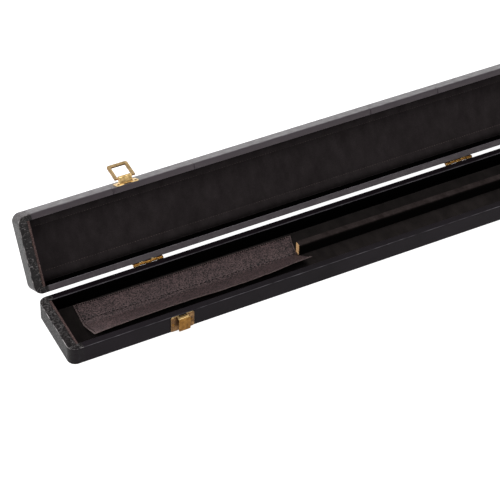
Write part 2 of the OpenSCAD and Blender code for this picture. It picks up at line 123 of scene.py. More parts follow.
HINGE = Vector(joints["lid_hinge"]["pos_m"])
OPEN_ANGLE = math.radians(joints["lid_hinge"]["range_deg"][1])
OPEN_TURN = Matrix.Rotation(-OPEN_ANGLE, 4, "X")
OPENING = Matrix.Translation(HINGE) @ OPEN_TURN @ Matrix.Translation(-HINGE)


def node_points(node, matrix):
    """A CAD node's vertices as seen from the frame that matrix places."""
    back = np.array(matrix.inverted())
    points = np.array([vertex.co for vertex in frame["nodes"][node].data.vertices])
    return points @ back[:3, :3].T + back[:3, 3]


class Half:
    """A half in its own coordinates: flat face at z = 0, rim at z = height, latches at -y."""

    def __init__(self, name, body, matrix):
        self.name = name
        self.body = body
        self.matrix = matrix
        self.height = node_points(f"{name}_left_cover", matrix)[:, 2].max()
        self.in_y = -node_points(f"{name}_front_lining", matrix)[:, 1].max()
        self.floor = node_points(f"{name}_front_lining", matrix)[:, 2].min()
        self.block_x = node_points(f"{name}_front_rail", matrix)[:, 0].max()
        self.in_x = node_points(f"{name}_front_lining", matrix)[:, 0].max()


BOTTOM_LOW, BOTTOM_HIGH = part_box("base_bottom_cover")
CASE_L = 2 * BOTTOM_HIGH.x
CASE_W = 2 * BOTTOM_HIGH.y
COVER_T = BOTTOM_HIGH.z
WRAP_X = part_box("base_front_cover")[1].x
CORNER_R = 10 * MM

lid_top = node_points("lid_top_cover", OPENING)[:, 2].max()
CLOSED_LID = Matrix.Translation((0, 0, lid_top)) @ Matrix.Diagonal((1, 1, -1, 1))
base_half = Half("base", "base", Matrix.Identity(4))
lid_half = Half("lid", "lid", OPENING @ CLOSED_LID)


# ---------------------------------------------------------------- material nodes

LOOKS = {}


class Shader:
    """A material being wired up, kept in LOOKS under its name, with short ways to add nodes."""

    def __init__(self, name, **sockets):
        self.material = bpy.data.materials.new(name)
        LOOKS[name] = self.material
        self.material.use_nodes = True
        self.tree = self.material.node_tree
        self.surface = self.tree.nodes["Principled BSDF"]
        for socket, value in sockets.items():
            self.surface.inputs[socket.replace("_", " ")].default_value = value
        self.place = self.add("ShaderNodeTexCoord").outputs["Object"]

    def add(self, kind, **settings):
        node = self.tree.nodes.new(kind)
        for key, value in settings.items():
            setattr(node, key, value)
        return node

    def link(self, source, target):
        self.tree.links.new(source, target)

    def stretched(self, scale):
        """Object coordinates scaled by (x, y, z), for streaks."""
        node = self.add("ShaderNodeMapping")
        node.inputs["Scale"].default_value = scale
        self.link(self.place, node.inputs["Vector"])
        return node.outputs["Vector"]

    def noise(self, size, detail=3, rough=0.55, where=None):
        """Noise whose blobs are about size metres across."""
        node = self.add("ShaderNodeTexNoise")
        node.inputs["Scale"].default_value = 1 / size
        node.inputs["Detail"].default_value = detail
        node.inputs["Roughness"].default_value = rough
        self.link(where or self.place, node.inputs["Vector"])
        return node.outputs["Fac"]

    def cells(self, size, feature="F1", where=None):
        """Voronoi distance for cells about size metres across."""
        node = self.add("ShaderNodeTexVoronoi", feature=feature)
        node.inputs["Scale"].default_value = 1 / size
        self.link(where or self.place, node.inputs["Vector"])
        return node.outputs["Distance"]

    def ramp(self, factor, stops):
        """A colour ramp over (position, colour) stops."""
        node = self.add("ShaderNodeValToRGB")
        elements = node.color_ramp.elements
        while len(elements) < len(stops):
            elements.new(0.5)
        for element, (position, colour) in zip(elements, stops):
            element.position = position
            element.color = (*colour, 1)
        self.link(factor, node.inputs["Fac"])
        return node.outputs["Color"]

    def remap(self, factor, low, high, from_low=0.0, from_high=1.0):
        node = self.add("ShaderNodeMapRange")
        node.inputs["From Min"].default_value = from_low
        node.inputs["From Max"].default_value = from_high
        node.inputs["To Min"].default_value = low
        node.inputs["To Max"].default_value = high
        self.link(factor, node.inputs["Value"])
        return node.outputs["Result"]

    def mix(self, factor, first, second, blend="MIX"):
        """Mixes two colours; either may be a socket or a plain colour."""
        node = self.add("ShaderNodeMix", data_type="RGBA", blend_type=blend)
        colours = [socket for socket in node.inputs if socket.type == "RGBA"]
        for socket, value in zip(colours, (first, second)):
            if isinstance(value, tuple):
                socket.default_value = (*value, 1)
            else:
                self.link(value, socket)
        if isinstance(factor, float):
            node.inputs["Factor"].default_value = factor
        else:
            self.link(factor, node.inputs["Factor"])
        return next(socket for socket in node.outputs if socket.type == "RGBA")

    def attribute(self, name):
        return self.add("ShaderNodeAttribute", attribute_name=name).outputs["Fac"]

    def colour(self, source):
        self.link(source, self.surface.inputs["Base Color"])

    def roughness(self, source):
        self.link(source, self.surface.inputs["Roughness"])

    def bumps(self, *layers):
        """Stacks (height socket, depth in metres, strength) bumps onto the shader's normal."""
        normal = None
        for height, depth, strength in layers:
            node = self.add("ShaderNodeBump")
            node.inputs["Distance"].default_value = depth
            node.inputs["Strength"].default_value = strength
            self.link(height, node.inputs["Height"])
            if normal:
                self.link(normal, node.inputs["Normal"])
            normal = node.outputs["Normal"]
        self.link(normal, self.surface.inputs["Normal"])


# ---------------------------------------------------------------- materials

def side_leatherette(name, gloss, dark, pale, tint=(1, 1, 1, 1)):
    """Smooth black leatherette with a fine pebble; the wear mask paints its paler edges, partly wear
    and partly painted highlight.
    """
    speck, wear_and_highlight = (0.012, 0.012, 0.013), (0.16, 0.15, 0.165)
    s = Shader(name, Specular_IOR_Level=gloss, Specular_Tint=tint)
    patches = s.noise(60 * MM, 4)
    base = s.ramp(patches, [(0.3, dark), (0.7, pale)])
    specks = s.ramp(s.noise(0.7 * MM, 2), [(0.62, (0, 0, 0)), (0.8, speck)])
    base = s.mix(1.0, base, specks, "ADD")
    s.colour(s.mix(s.attribute("wear"), base, wear_and_highlight))
    s.roughness(s.remap(s.noise(9 * MM, 5), 0.30, 0.44, 0.3, 0.7))
    s.bumps(
        (s.cells(0.9 * MM), 0.06 * MM, 0.55),
        (s.noise(0.35 * MM, 2), 0.03 * MM, 0.4),
        (s.noise(14 * MM, 3), 0.25 * MM, 0.25),
    )


def end_leatherette(name, gloss, flat):
    """Coarse black leatherette, wrinkled round the ends; stretched masks its bent part, and flat, the
    colour of its long faces, carries the same painted light and shade as the half's long sides.
    """
    deep, bent, wear_and_highlight = (0.0045, 0.0038, 0.0040), (0.0120, 0.0102, 0.0104), (0.42, 0.39, 0.39)
    s = Shader(name, Specular_IOR_Level=gloss)
    bend = s.attribute("stretched")
    patches = s.noise(9 * MM, 5)
    base = s.ramp(patches, [(0.3, deep), (0.7, bent)])
    base = s.mix(bend, flat, base)
    s.colour(s.mix(s.attribute("wear"), base, wear_and_highlight))
    s.roughness(s.remap(s.noise(2.5 * MM, 4), 0.30, 0.50, 0.3, 0.7))
    s.bumps(
        (s.cells(1.3 * MM, "DISTANCE_TO_EDGE"), 0.40 * MM, 0.6),
        (s.noise(0.5 * MM, 3), 0.10 * MM, 0.6),
        (s.noise(3 * MM, 3), 0.5 * MM, 0.5),
    )


def velvet(name, dark, pale, sheen, gloss=0.1, sides=None):
    """Short pile with brushed patches, a fine nap and a dim sheen; sides is a painted shade colour,
    shown where the wear mask is low.
    """
    sheen_tint, between_hairs = (0.80, 0.70, 0.66, 1), (0.004, 0.0035, 0.0035)
    s = Shader(name, Roughness=1.0, Specular_IOR_Level=gloss, Sheen_Weight=sheen, Sheen_Roughness=0.45)
    s.surface.inputs["Sheen Tint"].default_value = sheen_tint
    brushed = s.noise(16 * MM, 6, 0.6, s.stretched((1.3, 0.7, 0.7)))
    nap = s.noise(0.8 * MM, 3, 0.7)
    base = s.ramp(brushed, [(0.32, dark), (0.68, pale)])
    if sides:
        base = s.mix(s.attribute("wear"), sides, base)
    s.colour(s.mix(s.remap(nap, 0.0, 0.55, 0.35, 0.7), base, between_hairs))
    s.bumps((nap, 0.25 * MM, 0.5), (brushed, 0.6 * MM, 0.3))


def flap_leatherette():
    """Pebbled grey-brown leatherette, darker between its grains and paler along its edges, partly from
    wear and partly as a painted highlight.
    """
    pit, grain, ridge = (0.03, 0.02, 0.02), (1.0, 1.0, 1.0), (1.8, 1.8, 1.8)
    wear_and_highlight = (0.16, 0.12, 0.11)
    s = Shader("flap_leatherette", Specular_IOR_Level=0.45)
    grains = s.cells(1.25 * MM)
    patches = s.noise(16 * MM, 4)
    base = s.ramp(patches, [(0.3, (0.052, 0.033, 0.034)), (0.7, (0.072, 0.046, 0.046))])
    pits = s.ramp(s.noise(1.35 * MM, 2, 0.6), [(0.41, pit), (0.50, grain), (0.62, ridge)])
    base = s.mix(1.0, base, pits, "MULTIPLY")
    s.colour(s.mix(s.attribute("wear"), base, wear_and_highlight))
    s.roughness(s.remap(s.noise(2 * MM, 3), 0.48, 0.72, 0.3, 0.7))
    s.bumps((grains, 0.30 * MM, 0.7), (s.noise(0.6 * MM, 3), 0.12 * MM, 0.6))


def brass(name, dark, middle, bright):
    """Lacquered antique brass, browner and duller in patches, with fine drawn lines."""
    line, wear_and_highlight = (0.12, 0.065, 0.025), (0.86, 0.64, 0.30)
    s = Shader(name, Metallic=1.0)
    patina = s.noise(5 * MM, 5, 0.65)
    base = s.ramp(patina, [(0.30, dark), (0.50, middle), (0.72, bright)])
    drawn = s.noise(1.1 * MM, 3, 0.6, s.stretched((3.5, 1.0, 0.45)))
    base = s.mix(s.remap(drawn, 0.0, 0.45, 0.35, 0.75), base, line)
    s.colour(s.mix(s.attribute("wear"), base, wear_and_highlight))
    s.roughness(s.remap(patina, 0.50, 0.28, 0.3, 0.7))
    s.bumps((drawn, 0.05 * MM, 0.35), (s.noise(0.25 * MM, 2), 0.02 * MM, 0.4))


def timber():
    """Pale sawn softwood with long grain."""
    late, middle, early = (0.66, 0.33, 0.13), (0.92, 0.55, 0.26), (0.98, 0.70, 0.39)
    pore = (0.46, 0.26, 0.11)
    s = Shader("timber", Specular_IOR_Level=0.25)
    rings = s.noise(2.2 * MM, 4, 0.6, s.stretched((0.04, 1, 1)))
    base = s.ramp(rings, [(0.32, late), (0.5, middle), (0.7, early)])
    fibres = s.noise(0.5 * MM, 3, 0.6, s.stretched((0.1, 1, 1)))
    s.colour(s.mix(s.remap(fibres, 0.0, 0.35, 0.4, 0.8), base, pore))
    s.roughness(s.remap(fibres, 0.65, 0.85))
    s.bumps((fibres, 0.12 * MM, 0.5))


def end_board():
    """Dark red-brown board with a torn, fibrous edge."""
    dark, middle, pale = (0.018, 0.010, 0.010), (0.070, 0.043, 0.040), (0.17, 0.12, 0.11)
    s = Shader("end_board", Specular_IOR_Level=0.2)
    fibres = s.noise(1.4 * MM, 4, 0.65)
    s.colour(s.ramp(fibres, [(0.30, dark), (0.55, middle), (0.75, pale)]))
    s.roughness(s.remap(fibres, 0.7, 0.95))
    s.bumps((fibres, 0.25 * MM, 0.7))


def thread(name, dark, pale, gloss=0.3):
    """Twisted sewing thread."""
    s = Shader(name, Roughness=0.8, Specular_IOR_Level=gloss)
    s.colour(s.ramp(s.noise(0.4 * MM, 3), [(0.35, dark), (0.65, pale)]))
    s.bumps((s.noise(0.2 * MM, 2), 0.05 * MM, 0.5))


# Painted light: the lid's leatherettes are lighter, warmer-tinted and glossier copies of the base's,
# for the brighter light on the lid's faces; the base's copies are painted darker for the shade on its
# front.
BASE_SHADED_BLACK = (0.0042, 0.0024, 0.0038)
LID_LIT_BLACK = (0.0300, 0.0220, 0.0255)
WARM_TINT = (1.0, 0.955, 0.925, 1)

side_leatherette("base_leatherette", 0.06, (0.0046, 0.0030, 0.0043), (0.0078, 0.0053, 0.0074))
side_leatherette("lid_leatherette", 0.36, (0.0225, 0.0155, 0.0215), (0.0325, 0.0240, 0.0310), WARM_TINT)
end_leatherette("base_end_leatherette", 0.08, BASE_SHADED_BLACK)
end_leatherette("lid_end_leatherette", 0.17, LID_LIT_BLACK)
# Painted light: lid_velvet is a lighter copy of base_velvet for the light on the lid, divider_velvet is
# a paler copy, and the near-black sides colours are painted shade.
velvet("base_velvet", (0.0105, 0.0082, 0.0078), (0.0250, 0.0200, 0.0190), 0.06,
       sides=(0.0010, 0.0006, 0.0006))
velvet("divider_velvet", (0.022, 0.0165, 0.0160), (0.048, 0.037, 0.036), 0.03, 0.0,
       (0.0003, 0.0003, 0.0003))
velvet("lid_velvet", (0.0145, 0.0112, 0.0118), (0.0255, 0.0205, 0.0215), 0.07)
# Painted shade: the inner walls' velvet is near-black, for walls that lie in shade.
velvet("wall_velvet", (0.0001, 0.0001, 0.0001), (0.0003, 0.0003, 0.0003), 0.0, 0.0)
flap_leatherette()
# Painted light: the base's latch plates get a darker, shaded copy of the brass and the lid's plates a
# lighter, lit copy.
brass("antique_brass", (0.115, 0.050, 0.010), (0.215, 0.100, 0.019), (0.34, 0.175, 0.045))
brass("plate_brass", (0.035, 0.016, 0.010), (0.15, 0.078, 0.032), (0.34, 0.20, 0.085))
brass("bright_brass", (0.26, 0.16, 0.06), (0.84, 0.58, 0.25), (1.0, 0.84, 0.48))
brass("bail_brass", (0.045, 0.020, 0.010), (0.38, 0.23, 0.13), (0.66, 0.47, 0.28))
timber()
end_board()
# Painted shade: the flap's thread is near-black, and its rear row is thick, so it stands for the shaded
# stitch holes as well as the thread.
thread("flap_thread", (0.001, 0.001, 0.001), (0.004, 0.003, 0.003), 0.02)
thread("lid_thread", (0.030, 0.020, 0.019), (0.085, 0.062, 0.058))
thread("black_thread", (0.012, 0.011, 0.012), (0.035, 0.032, 0.034))


# ---------------------------------------------------------------- mesh tools

def smoothstep(t):
    t = np.clip(t, 0, 1)
    return t * t * (3 - 2 * t)


def fbm(points, size, seed, octaves=3):
    """Noise from about -1 to 1 at each point, with blobs about size metres across."""
    points = np.asarray(points)
    shift = Vector((seed * 7.31, seed * 3.17, seed * 5.77))
    values = [noise.fractal(Vector(p) / size + shift, 1.0, 2.0, octaves) for p in points.reshape(-1, 3)]
    return np.array(values).reshape(points.shape[:-1])


def grid_points(x, y, z):
    """Points of a grid from coordinates that broadcast to its rows and columns."""
    return np.stack(np.broadcast_arrays(x, y, z), -1).astype(float)


def make_mesh(name, vertices, faces, matrix=None, sharp_deg=35):
    """A mesh object from row-frame vertices, or from a half's own coordinates and its matrix."""
    mesh = bpy.data.meshes.new(name)
    mesh.from_pydata([tuple(v) for v in np.asarray(vertices).reshape(-1, 3)], [], faces)
    if matrix is not None:
        mesh.transform(matrix)
    tool = bmesh.new()
    tool.from_mesh(mesh)
    bmesh.ops.remove_doubles(tool, verts=tool.verts, dist=1e-7)
    bmesh.ops.recalc_face_normals(tool, faces=tool.faces)
    tool.to_mesh(mesh)
    tool.free()
    mesh.shade_smooth()
    mesh.set_sharp_from_angle(angle=math.radians(sharp_deg))
    return show(name, mesh)


def dress(piece, look, body=None, stands_for=()):
    """Gives a piece its material and the body it rides on, and hides the CAD nodes that it stands for.
    """
    piece.data.materials.clear()
    piece.data.materials.append(LOOKS[look])
    if body:
        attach(piece, body)
    if stands_for:
        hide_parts(*stands_for)
    return piece


def grid_faces(rows, columns, start=0, flip=False):
    """Quads over a grid of rows by columns vertices."""
    faces = []
    for i in range(rows - 1):
        for j in range(columns - 1):
            a = start + i * columns + j
            quad = (a, a + 1, a + columns + 1, a + columns)
            faces.append(quad[::-1] if flip else quad)
    return faces


def sheet_solid(name, outer, inner, matrix=None, sharp_deg=35, **masks):
    """A closed sheet between two grids of the same shape; masks run 0 to 1 on the outer one."""
    rows, columns = outer.shape[:2]
    count = rows * columns
    faces = grid_faces(rows, columns) + grid_faces(rows, columns, count, flip=True)
    rim = [(i, 0) for i in range(rows)]
    rim += [(rows - 1, j) for j in range(1, columns)]
    rim += [(i, columns - 1) for i in range(rows - 2, -1, -1)]
    rim += [(0, j) for j in range(columns - 2, 0, -1)]
    ids = [i * columns + j for i, j in rim]
    for a, b in zip(ids, ids[1:] + ids[:1]):
        faces.append((b, a, a + count, b + count))
    vertices = np.concatenate([outer.reshape(-1, 3), inner.reshape(-1, 3)])
    mesh = bpy.data.meshes.new(name)
    mesh.from_pydata([tuple(v) for v in vertices], [], faces)
    if matrix is not None:
        mesh.transform(matrix)
        if matrix.determinant() < 0:
            mesh.flip_normals()
    mesh.shade_smooth()
    mesh.set_sharp_from_angle(angle=math.radians(sharp_deg))
    for mask, amount in masks.items():
        values = np.zeros(2 * count, np.float32)
        values[:count] = np.broadcast_to(np.clip(amount, 0, 1), (rows, columns)).reshape(-1)
        mesh.attributes.new(mask, "FLOAT", "POINT").data.foreach_set("value", values)
    return show(name, mesh)


def arc(centre, radius, start_deg, end_deg, steps):
    """Points on an arc, both ends included."""
    angles = np.radians(np.linspace(start_deg, end_deg, steps + 1))
    return [(centre[0] + radius * math.cos(a), centre[1] + radius * math.sin(a)) for a in angles]


def between(start, end, steps):
    """Points after start up to and including end."""
    start, end = np.array(start), np.array(end)
    return [tuple(start + (end - start) * k / steps) for k in range(1, steps + 1)]


# ---------------------------------------------------------------- leatherette skins

LIP = 3 * MM
FOOT_R = 0.7 * MM
EDGE_R = 0.95 * MM
FOLD_R = 0.72 * MM
FOLD_T = 0.30 * MM
SIDE_STEP = 3.2 * MM
END_STEP = 0.62 * MM


def skin_section(height, rim_w, rim_steps):
    """Outer and inner outline of a skin, from under the foot to the rim's inner end.

    Each point is (distance in from the face, height).
    """
    outer = [(LIP, 0.0)] + arc((FOOT_R, FOOT_R), FOOT_R, 270, 180, 5)
    outer += between(outer[-1], (0, height - EDGE_R), 9)
    outer += arc((EDGE_R, height - EDGE_R), EDGE_R, 180, 90, 6)[1:]
    outer += between(outer[-1], (rim_w - FOLD_R, height), rim_steps)
    outer += arc((rim_w - FOLD_R, height - FOLD_R), FOLD_R, 90, 0, 4)[1:]
    outer += [(rim_w, height - COVER_T)]
    outer = np.array(outer)
    inner = np.clip(outer, COVER_T, (rim_w - FOLD_T, height - COVER_T))
    inner[-1] = (rim_w - FOLD_T, height - COVER_T)
    return outer, inner


def section_wear(outer, height):
    """A mask that is 1 on the rim's outer edge, where the edge is paler from wear and a painted
    highlight.
    """
    away = np.hypot(outer[:, 0] - 0.28 * EDGE_R, outer[:, 1] - (height - 0.28 * EDGE_R))
    return np.clip(1 - away / (0.55 * MM), 0, 1)


def side_skin(half, front, seams=()):
    """Leatherette on a long side: under the foot, up the face, over the rim."""
    outer_2d, inner_2d = skin_section(half.height, CASE_W / 2 - half.in_y, 7)
    stations = set(np.round(np.arange(-WRAP_X, WRAP_X, SIDE_STEP), 6)) | {WRAP_X}
    for seam in seams:
        stations |= {seam + d * MM for d in (-1.4, -0.7, -0.3, 0, 0.3, 0.7, 1.4)}
    x = np.array(sorted(stations))
    side = -1 if front else 1

    outer, inner = (
        grid_points(x[:, None], side * (CASE_W / 2 - section[:, 0]), section[:, 1])
        for section in (outer_2d, inner_2d)
    )
    seed = half.in_y * 1000 + side
    ripple = fbm(outer, 38 * MM, seed) * 0.07 * MM + fbm(outer, 9 * MM, seed + 2) * 0.025 * MM
    on_face = outer_2d[:, 0] < EDGE_R
    above_foot = outer_2d[:, 1] > FOOT_R
    outer[..., 1] -= np.where(on_face & above_foot, side * np.abs(ripple), 0)
    outer[..., 2] -= np.where((outer_2d[:, 0] > EDGE_R) & above_foot, np.abs(ripple), 0)
    for seam in seams:
        groove = 0.60 * MM * np.exp(-((x - seam) / (0.45 * MM)) ** 2)
        outer[..., 2] -= groove[:, None] * (outer_2d[:, 1] > half.height - 2 * EDGE_R)
        outer[..., 1] -= side * groove[:, None] * (on_face & (outer_2d[:, 1] > half.height - 4 * MM))
    # The rim's outer edge is paler, partly from wear and partly as a painted highlight.
    wear_and_highlight = section_wear(outer_2d, half.height) * (0.45 + 0.5 * fbm(outer, 12 * MM, seed + 4))
    # Painted highlight: on the rear rims the rounded inner fold is painted pale.
    if not front:
        from_fold = outer_2d - (outer_2d[-1, 0], half.height) + 0.3 * FOLD_R
        fold = np.clip(1 - np.hypot(*from_fold.T) / (0.8 * MM), 0, 1)
        wear_and_highlight = wear_and_highlight + fold * (0.42 + 0.3 * fbm(outer, 15 * MM, seed + 5))
    # Painted light: the base's front rim is painted a shade paler all over.
    elif half is base_half:
        wear_and_highlight = wear_and_highlight + 0.022 * (outer_2d[:, 0] > EDGE_R)
    where = "front" if front else "rear"
    piece = sheet_solid(f"{half.name}_{where}_skin", outer, inner, half.matrix, wear=wear_and_highlight)
    cover = f"{half.name}_{where}_cover"
    dress(piece, f"{half.name}_leatherette", half.body, [cover])


def end_path(half):
    """Stations round an end: (outer point, inward normal, matching point on the rim's inner edge)."""
    half_l, half_w, r = CASE_L / 2, CASE_W / 2, CORNER_R
    inner_x, inner_y = half.block_x, half.in_y
    run = half_l - r - WRAP_X
    end_y = half_w - r

    def along_side(t, side):
        outer = Vector((-WRAP_X - run * t, side * half_w))
        inner = Vector((-WRAP_X - (inner_x - WRAP_X) * t, side * inner_y))
        return outer, Vector((0, -side)), inner

    def round_corner(t, side):
        angle = t * math.pi / 2
        normal = Vector((math.sin(angle), -side * math.cos(angle)))
        centre = Vector((-half_l + r, side * end_y))
        inset = max(0.0, 2 * t - 1) * (inner_y - end_y)
        return centre - normal * r, normal, Vector((-inner_x, side * (inner_y - inset)))

    def across_end(t):
        y = -end_y + 2 * end_y * t
        return Vector((-half_l, y)), Vector((1, 0)), Vector((-inner_x, y))

    straight = max(2, round(run / END_STEP))
    turn = round(r * math.pi / 2 / END_STEP)
    across = round(2 * end_y / END_STEP)
    stations = [along_side(k / straight, -1) for k in range(straight)]
    stations += [round_corner(k / turn, -1) for k in range(turn)]
    stations += [across_end(k / across) for k in range(across)]
    stations += [round_corner(1 - k / turn, 1) for k in range(turn)]
    stations += [along_side(1 - k / straight, 1) for k in range(straight + 1)]
    return stations


def end_skin(half, right):
    """Leatherette pulled round an end, with gathers on the corners and creases across the rim."""
    outer_2d, inner_2d = skin_section(half.height, CASE_W / 2 - half.in_y, 16)
    stations = end_path(half)
    rim_w = CASE_W / 2 - half.in_y

    def grid(section):
        points = np.zeros((len(stations), len(section), 3))
        for i, (edge, normal, inside) in enumerate(stations):
            start = edge + normal * LIP
            for j, (u, z) in enumerate(section):
                if u <= LIP:
                    flat = edge + normal * u
                else:
                    flat = start.lerp(inside, (u - LIP) / (rim_w - LIP))
                points[i, j] = (flat.x, flat.y, z)
        return points

    outer, inner = grid(outer_2d), grid(inner_2d)
    seed = 11 + half.in_y * 1000 + (5 if right else 0)
    normals = np.array([(n.x, n.y) for _, n, _ in stations])
    along = np.arange(len(stations)) * END_STEP
    corner = np.clip(2.2 * np.abs(normals[:, 0] * normals[:, 1]), 0, 1)
    across = np.linspace(0, 1, len(outer_2d))
    slanted = along[:, None] / (3.4 * MM) + 1.8 * across[None]
    flat_place = np.stack(np.broadcast_arrays(slanted, 2.6 * across[None], seed), -1)
    crease = np.abs(fbm(flat_place, 1.0, seed, 3))
    ragged = np.clip(fbm(outer, 7 * MM, seed + 1) * 1.3 + 0.25, 0, 1)
    depth = 0.24 * MM * smoothstep(crease / 0.30) * np.clip(corner[:, None] + 0.75 * ragged, 0, 1)
    depth += 0.10 * MM * np.abs(fbm(outer, 2.2 * MM, seed + 2))
    on_rim = outer_2d[:, 0] > EDGE_R
    above_foot = outer_2d[:, 1] > FOOT_R
    face_part = 0.55 * depth * ((outer_2d[:, 0] <= EDGE_R) & above_foot)
    outer[..., 2] -= depth * (on_rim & above_foot)
    outer[..., 0] += face_part * normals[:, None, 0]
    outer[..., 1] += face_part * normals[:, None, 1]
    # The end rims' outer edge and crease crests are paler, partly from wear and partly as painted
    # highlights.
    patchy = np.clip(0.42 + 0.9 * fbm(outer, 5 * MM, seed + 4), 0, 1)
    wear_and_highlight = section_wear(outer_2d, half.height) * patchy
    fold = np.clip(1 - crease / 0.07, 0, 1) * np.clip(0.6 * corner[:, None] + 0.15 + ragged, 0, 1)
    wear_and_highlight = np.maximum(wear_and_highlight, 0.42 * fold * on_rim)
    # Painted sheen: on the base the rims grow paler towards the rear in patches, standing for a
    # reflection.
    if half is base_half:
        to_rear = smoothstep(outer[..., 1] / CASE_W + 0.6)
        sheen_patches = np.clip(0.5 + 2.0 * fbm(outer, 2.4 * MM, seed + 6), 0, 1.6)
        wear_and_highlight = np.maximum(wear_and_highlight, 0.11 * to_rear * sheen_patches * on_rim)
    matrix = half.matrix
    if right:
        matrix = matrix @ Matrix.Diagonal((-1, 1, 1, 1))
    end = "right" if right else "left"
    pulled = np.maximum(np.abs(normals[:, :1]) ** 2, on_rim[None])
    piece = sheet_solid(f"{half.name}_{end}_skin", outer, inner, matrix, wear=wear_and_highlight, stretched=pulled)
    cover = f"{half.name}_{end}_cover"
    dress(piece, f"{half.name}_end_leatherette", half.body, [cover])


def flat_skin(half, node):
    """The glued sheet over the flat face, inside the skins' turned-in lips."""
    gap = LIP + 0.2 * MM
    half_l, half_w, r = CASE_L / 2 - gap, CASE_W / 2 - gap, CORNER_R - gap
    quarter = np.radians(np.linspace(0, 90, 8))
    x = np.concatenate([
        -half_l + r - r * np.cos(quarter),
        np.linspace(-half_l + r, half_l - r, 180)[1:-1],
        half_l - r + r * np.sin(quarter),
    ])
    over = np.clip(np.abs(x) - (half_l - r), 0, r)
    reach = half_w - r + np.sqrt(np.maximum(r * r - over * over, 0))
    reach = np.maximum(reach, half_w - r + 0.1 * MM)
    outer = grid_points(x[:, None], reach[:, None] * np.linspace(-1, 1, 15), 0)
    outer[..., 2] = 0.02 * MM + 0.03 * MM * np.abs(fbm(outer, 30 * MM, 3))
    inner = outer.copy()
    inner[..., 2] = COVER_T
    piece = sheet_solid(f"{half.name}_flat_skin", outer[:, ::-1], inner[:, ::-1], half.matrix)
    dress(piece, f"{half.name}_leatherette", half.body, [node])


LID_SEAMS = [BOTTOM_LOW.x + from_left * MM for from_left in (118, 221, 458, 552)]
for half in (base_half, lid_half):
    side_skin(half, front=True, seams=LID_SEAMS if half is lid_half else ())
    side_skin(half, front=False)
    end_skin(half, right=False)
    end_skin(half, right=True)
flat_skin(base_half, "base_bottom_cover")
flat_skin(lid_half, "lid_top_cover")


# ---------------------------------------------------------------- velvet

LINING_LOW, LINING_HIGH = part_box("base_floor_lining")
LINING_T = LINING_HIGH.z - LINING_LOW.z
BAY_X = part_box("divider_core")[0].x


def floor_velvet(half, node, profile, seed, look):
    """Velvet over the flat inside of a half; profile(y) gives its height over the flat."""
    x = np.linspace(-half.in_x, half.in_x, 421)
    y = (half.in_y + 0.25 * MM) * np.sin(np.linspace(-math.pi / 2, math.pi / 2, 53))
    outer = grid_points(x[:, None], y, 0)
    soft = fbm(outer, 30 * MM, seed) * 0.16 * MM
    to_wall = np.minimum(half.in_x - np.abs(x)[:, None], half.in_y - np.abs(y))
    tuck = 0.5 * MM * (1 - smoothstep(to_wall / (2.5 * MM)))
    lift = profile(np.abs(y))[None] * smoothstep((half.in_x - np.abs(x)[:, None]) / (7 * MM))
    outer[..., 2] = half.floor - 0.16 * MM + np.minimum(soft, 0.12 * MM) + lift - tuck
    inner = outer.copy()
    inner[..., 2] = half.floor - LINING_T
    # Painted shade: the floor is darkened towards the near-black sides colour, except in the front
    # compartment, which is left as lit.
    lit_front_floor = smoothstep((x[:, None] - BAY_X) / (6 * MM)) * smoothstep(-y / (6 * MM))
    piece = sheet_solid(f"{half.name}_floor_velvet", outer[:, ::-1], inner[:, ::-1], half.matrix,
                        wear=(0.55 + 0.45 * lit_front_floor)[:, ::-1])
    dress(piece, look, half.body, [node])


def wall_velvet(half, front):
    """Velvet on a long inner wall, painted near-black for shade."""
    side = -1 if front else 1
    x = np.linspace(-half.in_x, half.in_x, 301)
    z = np.linspace(half.floor - 0.78 * MM, half.height - COVER_T, 9)
    outer = grid_points(x[:, None], 0, z)
    bulge = 0.16 * MM * np.abs(fbm(outer, 24 * MM, 31 + side + half.in_y * 1000))
    outer[..., 1] = side * (half.in_y + 0.02 * MM + bulge)
    inner = outer.copy()
    inner[..., 1] = side * (half.in_y + LINING_T)
    where = "front" if front else "rear"
    if front:
        outer, inner = outer[::-1], inner[::-1]
    piece = sheet_solid(f"{half.name}_{where}_velvet", outer, inner, half.matrix)
    dress(piece, "wall_velvet", half.body, [f"{half.name}_{where}_lining"])


def end_velvet(half, right, look):
    """A thin sheet of velvet on the inner face of an end board."""
    side = 1 if right else -1
    y = np.linspace(-half.in_y, half.in_y, 40)
    z = np.linspace(half.floor - 0.3 * MM, half.height - COVER_T - 0.6 * MM, 8)
    outer = grid_points(0, y[:, None], z)
    bulge = 0.12 * MM * np.abs(fbm(outer, 14 * MM, 41 + side))
    outer[..., 0] = side * (half.in_x - 0.35 * MM - bulge)
    inner = outer.copy()
    inner[..., 0] = side * half.in_x
    if not right:
        outer, inner = outer[::-1], inner[::-1]
    end = "right" if right else "left"
    piece = sheet_solid(f"{half.name}_{end}_velvet", outer[::-1], inner[::-1], half.matrix)
    dress(piece, look, half.body)


LID_PAD_W = 12.5 * MM
LID_PAD_H = 2.4 * MM


def flat_profile(y):
    return np.zeros_like(y)


def padded_profile(y):
    """A round padded strip beside each long wall, behind a sewn dip."""
    start = lid_half.in_y - LID_PAD_W
    rise = LID_PAD_H * np.sin(math.pi * np.clip((y - start) / LID_PAD_W, 0, 0.93)) ** 0.8
    dip = 0.55 * MM * np.exp(-((y - start) / (1.1 * MM)) ** 2)
    return rise - dip


floor_velvet(base_half, "base_floor_lining", flat_profile, 21, "base_velvet")
floor_velvet(lid_half, "lid_top_lining", padded_profile, 22, "lid_velvet")
for half, look in ((base_half, "base_velvet"), (lid_half, "lid_velvet")):
    for first in (True, False):
        wall_velvet(half, front=first)
        end_velvet(half, right=first, look=look)


# ---------------------------------------------------------------- end boards

